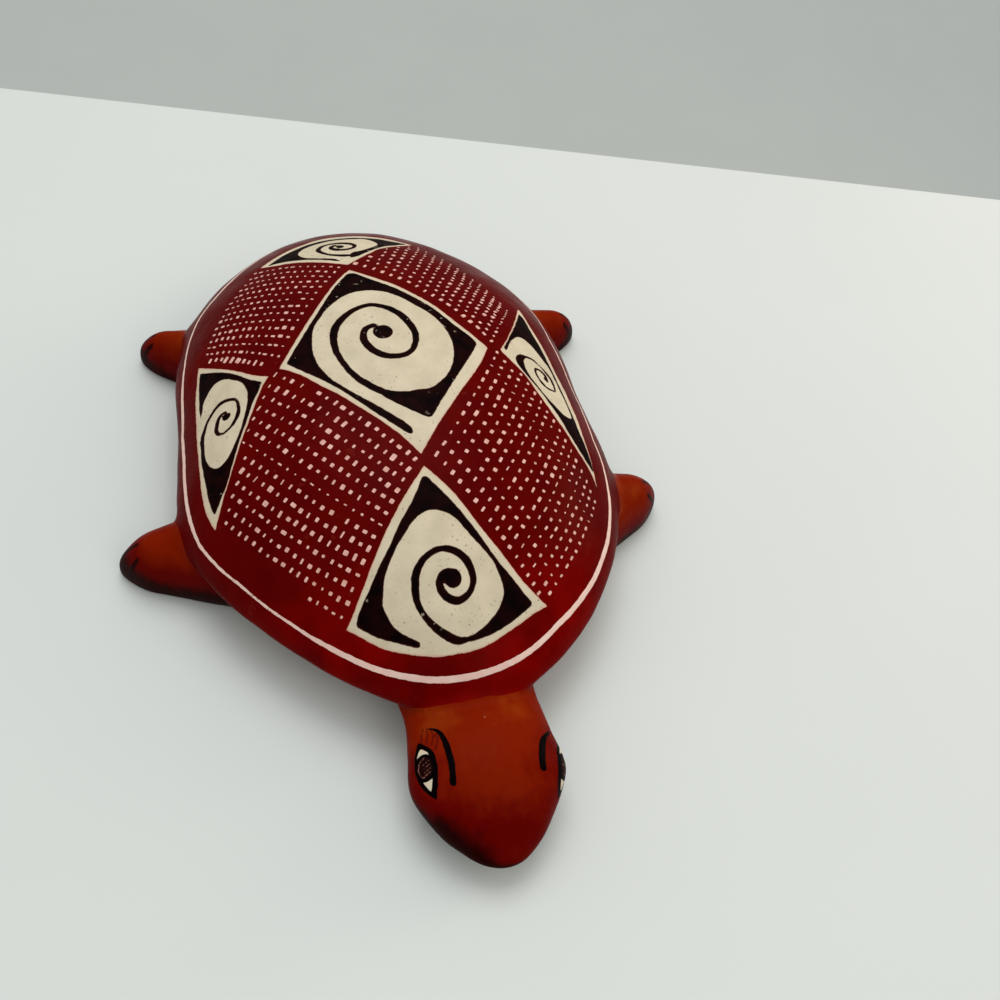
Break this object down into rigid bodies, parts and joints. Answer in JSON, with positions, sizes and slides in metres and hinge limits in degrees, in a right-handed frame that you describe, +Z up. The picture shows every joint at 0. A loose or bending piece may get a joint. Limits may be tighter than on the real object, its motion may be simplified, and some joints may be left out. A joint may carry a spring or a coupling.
{
  "type": "pottery turtle rattle",
  "caption": "Hollow pottery turtle rattle with a domed painted shell, a wedge-shaped head, short conical feet and loose clay pellets sealed inside.",
  "frame": {"origin": "on the table plane, under the middle of the whole turtle's outline seen from above", "axes": "+Z up from the table, -Y towards the head, +Y towards the tail, +X towards the turtle's left side"},
  "size_m": [0.1068, 0.149, 0.0315],
  "materials": {
    "red_slip": "deep red slip, burnished to a satin gloss",
    "burnished_clay": "orange-brown burnished clay",
    "raw_clay": "matt unglazed fired clay"
  },
  "bodies": {
    "turtle": {"carapace": "red_slip", "plastron": "red_slip", "head": "burnished_clay", "foot_front_right": "burnished_clay", "foot_front_left": "burnished_clay", "foot_rear_right": "burnished_clay", "foot_rear_left": "burnished_clay", "tail": "burnished_clay"},
    "pellet_1": {"pellet_1": "raw_clay"},
    "pellet_2": {"pellet_2": "raw_clay"},
    "pellet_3": {"pellet_3": "raw_clay"},
    "pellet_4": {"pellet_4": "raw_clay"},
    "pellet_5": {"pellet_5": "raw_clay"},
    "pellet_6": {"pellet_6": "raw_clay"},
    "pellet_7": {"pellet_7": "raw_clay"}
  },
  "joints": [
    {"name": "pellet_1_roll", "type": "slide", "parent": "turtle", "child": "pellet_1", "axis": [1, 0, 0], "range_m": [-0.0267, 0.018]},
    {"name": "pellet_2_roll", "type": "slide", "parent": "turtle", "child": "pellet_2", "axis": [1, 0, 0], "range_m": [-0.0177, 0.0365]},
    {"name": "pellet_3_roll", "type": "slide", "parent": "turtle", "child": "pellet_3", "axis": [1, 0, 0], "range_m": [-0.0407, 0.0162]},
    {"name": "pellet_4_roll", "type": "slide", "parent": "turtle", "child": "pellet_4", "axis": [1, 0, 0], "range_m": [-0.0247, 0.0305]},
    {"name": "pellet_5_roll", "type": "slide", "parent": "turtle", "child": "pellet_5", "axis": [1, 0, 0], "range_m": [-0.0375, 0.0172]},
    {"name": "pellet_6_roll", "type": "slide", "parent": "turtle", "child": "pellet_6", "axis": [1, 0, 0], "range_m": [-0.0145, 0.038]},
    {"name": "pellet_7_roll", "type": "slide", "parent": "turtle", "child": "pellet_7", "axis": [1, 0, 0], "range_m": [-0.0177, 0.0262]}
  ]
}
